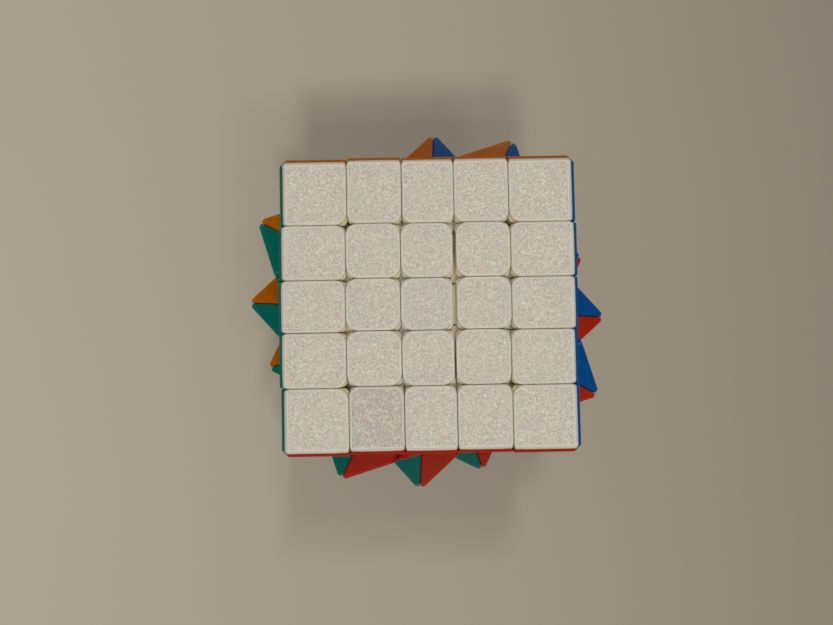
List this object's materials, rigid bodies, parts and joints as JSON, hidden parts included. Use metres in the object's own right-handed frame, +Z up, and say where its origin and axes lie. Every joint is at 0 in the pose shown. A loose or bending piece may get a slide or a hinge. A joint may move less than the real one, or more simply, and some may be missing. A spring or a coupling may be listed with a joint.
{
  "type": "twisty puzzle cube",
  "caption": "Stickerless twisty puzzle cube with turning layers, frosted tiles and a spring-loaded core, its layers turned out of line into a spiral.",
  "frame": {"origin": "middle of the bottom face, on the surface it rests on", "axes": "+Z up along the axis the layers turn about; X and Y square to the top layer's sides, +X its blue side and +Y its orange side"},
  "size_m": [0.0856, 0.0856, 0.062],
  "materials": {
    "white_plastic": "frosted grain on the tile face with a smooth rim, warm white moulded ABS",
    "yellow_plastic": "frosted grain on the tile face with a smooth rim, yellow moulded ABS",
    "blue_plastic": "satin moulded ABS, blue, frosted tile face",
    "orange_plastic": "satin moulded ABS, orange, frosted tile face",
    "green_plastic": "satin moulded ABS, green, frosted tile face",
    "red_plastic": "satin moulded ABS, red, frosted tile face",
    "core_plastic": "plain dark nylon",
    "steel": "zinc-plated steel"
  },
  "bodies": {
    "bottom_layer": {"bottom_block_blue": "yellow_plastic", "bottom_block_orange": "yellow_plastic", "bottom_block_green": "yellow_plastic", "bottom_block_red": "yellow_plastic", "bottom_centre": "yellow_plastic"},
    "middle_layer": {"middle_layer_bar_blue": "blue_plastic", "middle_layer_bar_orange": "orange_plastic", "middle_layer_bar_green": "green_plastic", "middle_layer_bar_red": "red_plastic", "middle_t_centre_blue": "blue_plastic", "middle_t_centre_orange": "orange_plastic", "middle_t_centre_green": "green_plastic", "middle_t_centre_red": "red_plastic", "middle_centre_blue": "blue_plastic", "middle_centre_orange": "orange_plastic", "middle_centre_green": "green_plastic", "middle_centre_red": "red_plastic", "core": "core_plastic", "top_screw": "steel", "bottom_screw": "steel", "top_spring": "steel", "bottom_spring": "steel", "screw_and_spring_blue": "steel", "screw_and_spring_orange": "steel", "screw_and_spring_green": "steel", "screw_and_spring_red": "steel"},
    "top_layer": {"top_corner_blue_orange": "white_plastic", "top_wing_blue_by_orange": "white_plastic", "top_wing_orange_by_blue": "white_plastic", "top_midge_blue": "white_plastic", "top_x_centre_blue_orange": "white_plastic", "top_t_centre_blue": "white_plastic", "top_corner_orange_green": "white_plastic", "top_wing_orange_by_green": "white_plastic", "top_wing_green_by_orange": "white_plastic", "top_midge_orange": "white_plastic", "top_x_centre_orange_green": "white_plastic", "top_t_centre_orange": "white_plastic", "top_corner_green_red": "white_plastic", "top_wing_green_by_red": "white_plastic", "top_wing_red_by_green": "white_plastic", "top_midge_green": "white_plastic", "top_x_centre_green_red": "white_plastic", "top_t_centre_green": "white_plastic", "top_corner_red_blue": "white_plastic", "top_wing_red_by_blue": "white_plastic", "top_wing_blue_by_red": "white_plastic", "top_midge_red": "white_plastic", "top_x_centre_red_blue": "white_plastic", "top_t_centre_red": "white_plastic", "top_centre": "white_plastic", "top_centre_cap": "white_plastic"},
    "second_layer": {"second_layer_bar_blue": "blue_plastic", "second_layer_bar_orange": "orange_plastic", "second_layer_bar_green": "green_plastic", "second_layer_bar_red": "red_plastic"},
    "fourth_layer": {"fourth_layer_bar_blue": "blue_plastic", "fourth_layer_bar_orange": "orange_plastic", "fourth_layer_bar_green": "green_plastic", "fourth_layer_bar_red": "red_plastic"}
  },
  "joints": [
    {"name": "middle_layer_turn", "type": "hinge", "parent": "bottom_layer", "child": "middle_layer", "pos_m": [0, 0, 0.031], "axis": [0, 0, 1], "continuous": true},
    {"name": "top_layer_turn", "type": "hinge", "parent": "middle_layer", "child": "top_layer", "pos_m": [0, 0, 0.031], "axis": [0, 0, 1], "continuous": true},
    {"name": "second_layer_turn", "type": "hinge", "parent": "middle_layer", "child": "second_layer", "pos_m": [0, 0, 0.031], "axis": [0, 0, 1], "continuous": true},
    {"name": "fourth_layer_turn", "type": "hinge", "parent": "middle_layer", "child": "fourth_layer", "pos_m": [0, 0, 0.031], "axis": [0, 0, 1], "continuous": true}
  ]
}
